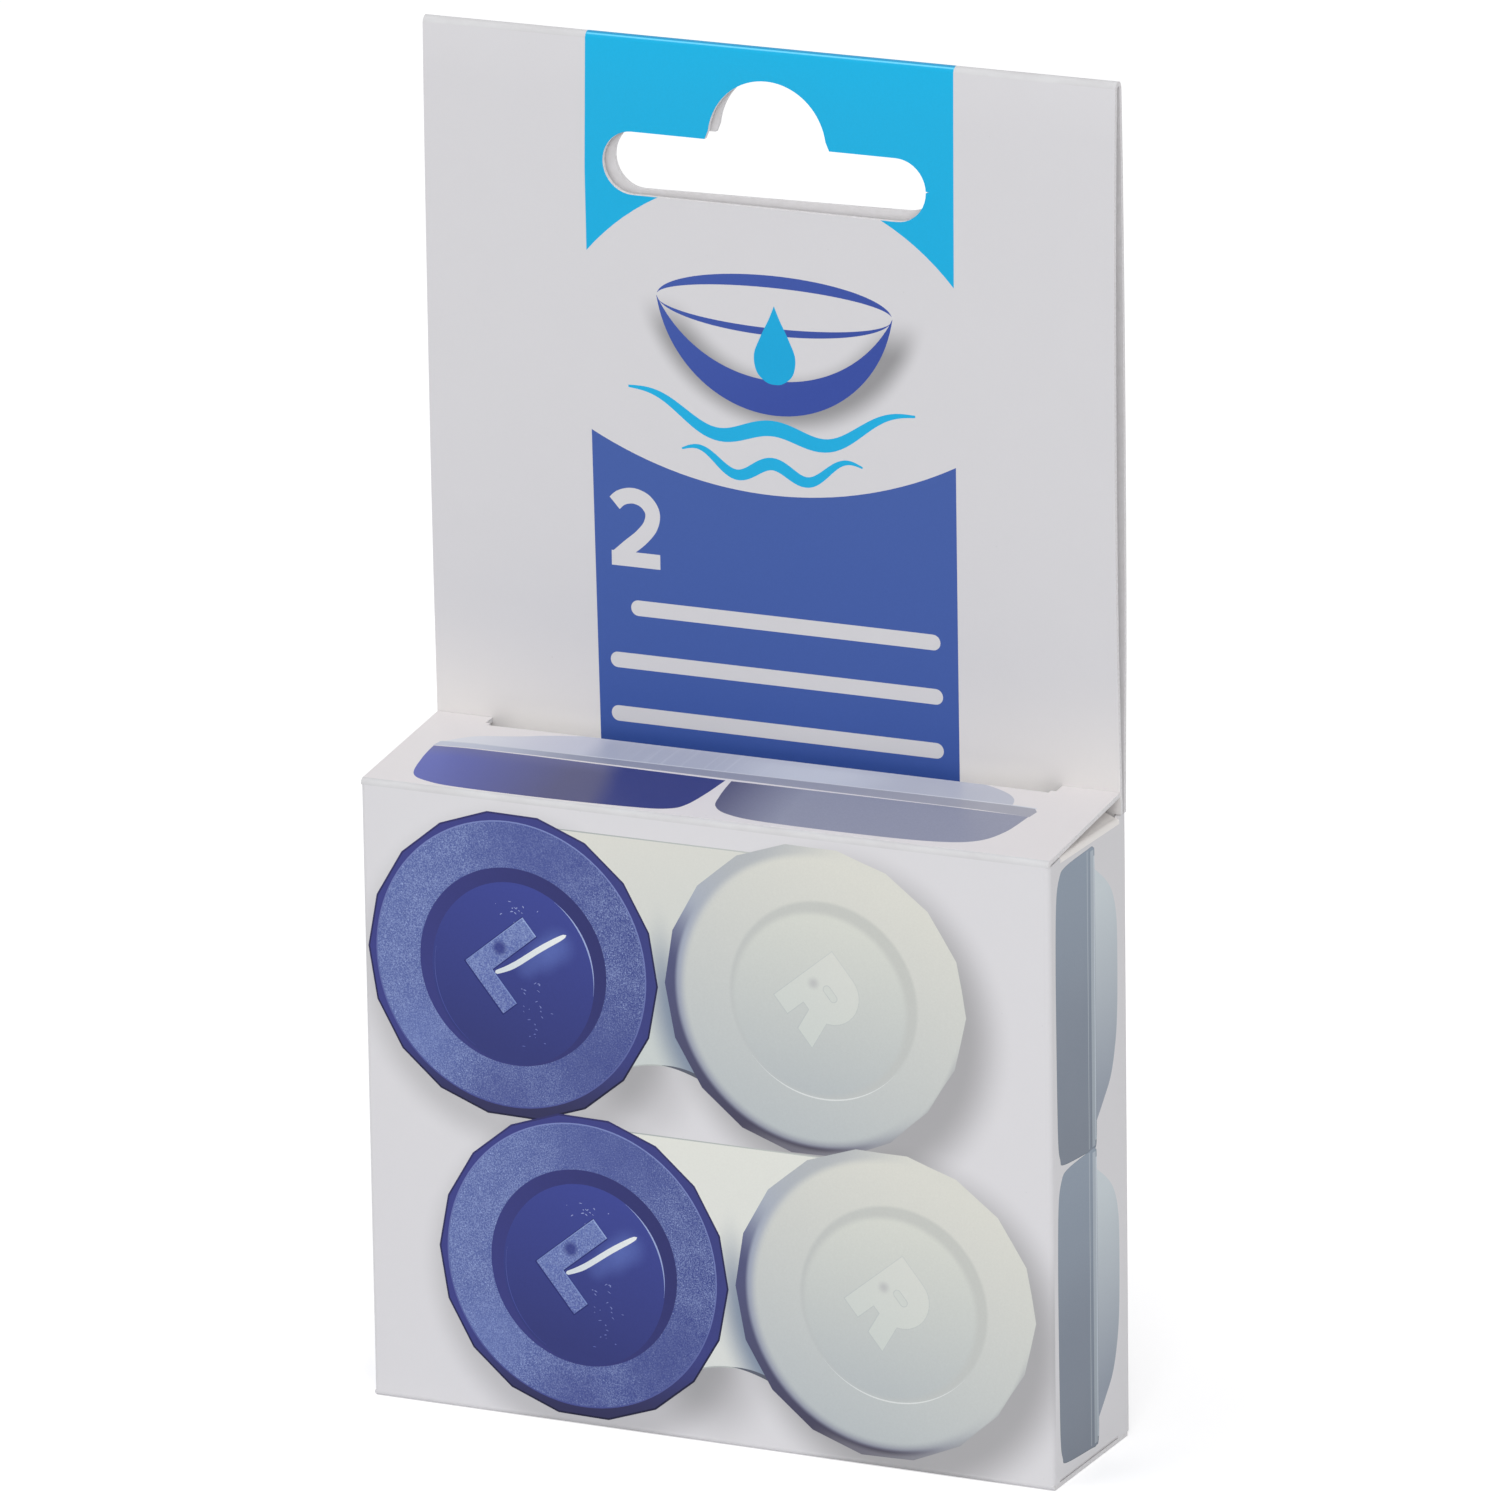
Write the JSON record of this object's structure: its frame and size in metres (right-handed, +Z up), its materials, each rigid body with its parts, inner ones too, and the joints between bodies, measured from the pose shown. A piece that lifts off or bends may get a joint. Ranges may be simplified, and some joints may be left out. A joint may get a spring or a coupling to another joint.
{
  "type": "contact lens case hang pack",
  "caption": "Folding carton with a hang-slot header, tucked hinged lids and dust flaps, holding flat contact lens cases with screw caps.",
  "frame": {"origin": "middle of the carton's underside, on the surface that it stands on", "axes": "+X to the pack's right seen from the front, +Y from front to back, +Z up"},
  "size_m": [0.07, 0.0176, 0.1298],
  "materials": {
    "printed_board": "coated white board with a satin varnish over the print",
    "plain_board": "uncoated white board",
    "adhesive": "dried adhesive",
    "case_plastic": "moulded, satin",
    "left_cap_plastic": "moulded, fine texture on the top ring and gloss in the dish",
    "right_cap_plastic": "moulded, fine texture on the top ring and gloss in the dish"
  },
  "bodies": {
    "carton": {"front_panel": "printed_board", "left_side_panel": "printed_board", "right_side_panel": "printed_board", "back_panel": "printed_board", "header_front_ply": "printed_board", "header_glue": "adhesive", "seam_flap": "plain_board", "upper_case_body": "case_plastic", "lower_case_body": "case_plastic"},
    "top_lid": {"top_lid": "printed_board"},
    "top_tuck_flap": {"top_tuck_flap": "plain_board"},
    "top_left_dust_flap": {"top_left_dust_flap": "plain_board"},
    "top_right_dust_flap": {"top_right_dust_flap": "plain_board"},
    "bottom_lid": {"bottom_lid": "plain_board"},
    "bottom_tuck_flap": {"bottom_tuck_flap": "plain_board"},
    "bottom_left_dust_flap": {"bottom_left_dust_flap": "plain_board"},
    "bottom_right_dust_flap": {"bottom_right_dust_flap": "plain_board"},
    "upper_left_cap": {"upper_left_cap": "left_cap_plastic"},
    "upper_right_cap": {"upper_right_cap": "right_cap_plastic"},
    "lower_left_cap": {"lower_left_cap": "left_cap_plastic"},
    "lower_right_cap": {"lower_right_cap": "right_cap_plastic"}
  },
  "joints": [
    {"name": "top_lid_hinge", "type": "hinge", "parent": "carton", "child": "top_lid", "pos_m": [0, -0.00875, 0.0606], "axis": [1, 0, 0], "range_deg": [0, 170]},
    {"name": "top_tuck_crease", "type": "hinge", "parent": "top_lid", "child": "top_tuck_flap", "pos_m": [0, 0.00553, 0.06205], "axis": [1, 0, 0], "range_deg": [-25.5, 0]},
    {"name": "top_left_dust_crease", "type": "hinge", "parent": "carton", "child": "top_left_dust_flap", "pos_m": [-0.035, 0, 0.06005], "axis": [0, -1, 0], "range_deg": [0, 68]},
    {"name": "top_right_dust_crease", "type": "hinge", "parent": "carton", "child": "top_right_dust_flap", "pos_m": [0.035, 0, 0.06005], "axis": [0, 1, 0], "range_deg": [0, 68]},
    {"name": "bottom_lid_hinge", "type": "hinge", "parent": "carton", "child": "bottom_lid", "pos_m": [0, -0.00875, 0], "axis": [-1, 0, 0], "range_deg": [0, 170]},
    {"name": "bottom_tuck_crease", "type": "hinge", "parent": "bottom_lid", "child": "bottom_tuck_flap", "pos_m": [0, 0.00623, 0.00045], "axis": [-1, 0, 0], "range_deg": [-25.5, 0]},
    {"name": "bottom_left_dust_crease", "type": "hinge", "parent": "carton", "child": "bottom_left_dust_flap", "pos_m": [-0.035, 0, 0.00055], "axis": [0, 1, 0], "range_deg": [0, 51]},
    {"name": "bottom_right_dust_crease", "type": "hinge", "parent": "carton", "child": "bottom_right_dust_flap", "pos_m": [0.035, 0, 0.00055], "axis": [0, -1, 0], "range_deg": [0, 51]},
    {"name": "upper_left_cap_turn", "type": "hinge", "parent": "carton", "child": "upper_left_cap", "pos_m": [-0.0189, 0.00005, 0.04465], "axis": [0, -1, 0], "range_deg": [0, 120]},
    {"name": "upper_right_cap_turn", "type": "hinge", "parent": "carton", "child": "upper_right_cap", "pos_m": [0.0119, 0.00005, 0.04465], "axis": [0, -1, 0], "range_deg": [0, 120]},
    {"name": "lower_left_cap_turn", "type": "hinge", "parent": "carton", "child": "lower_left_cap", "pos_m": [-0.0119, 0.00005, 0.01595], "axis": [0, -1, 0], "range_deg": [0, 120]},
    {"name": "lower_right_cap_turn", "type": "hinge", "parent": "carton", "child": "lower_right_cap", "pos_m": [0.0189, 0.00005, 0.01595], "axis": [0, -1, 0], "range_deg": [0, 120]}
  ],
  "couplings": [
    {"joint": "top_tuck_crease", "follows": "top_lid_hinge", "ratio": -0.15},
    {"joint": "top_left_dust_crease", "follows": "top_lid_hinge", "ratio": 0.4},
    {"joint": "top_right_dust_crease", "follows": "top_lid_hinge", "ratio": 0.4},
    {"joint": "bottom_tuck_crease", "follows": "bottom_lid_hinge", "ratio": -0.15},
    {"joint": "bottom_left_dust_crease", "follows": "bottom_lid_hinge", "ratio": 0.3},
    {"joint": "bottom_right_dust_crease", "follows": "bottom_lid_hinge", "ratio": 0.3}
  ]
}
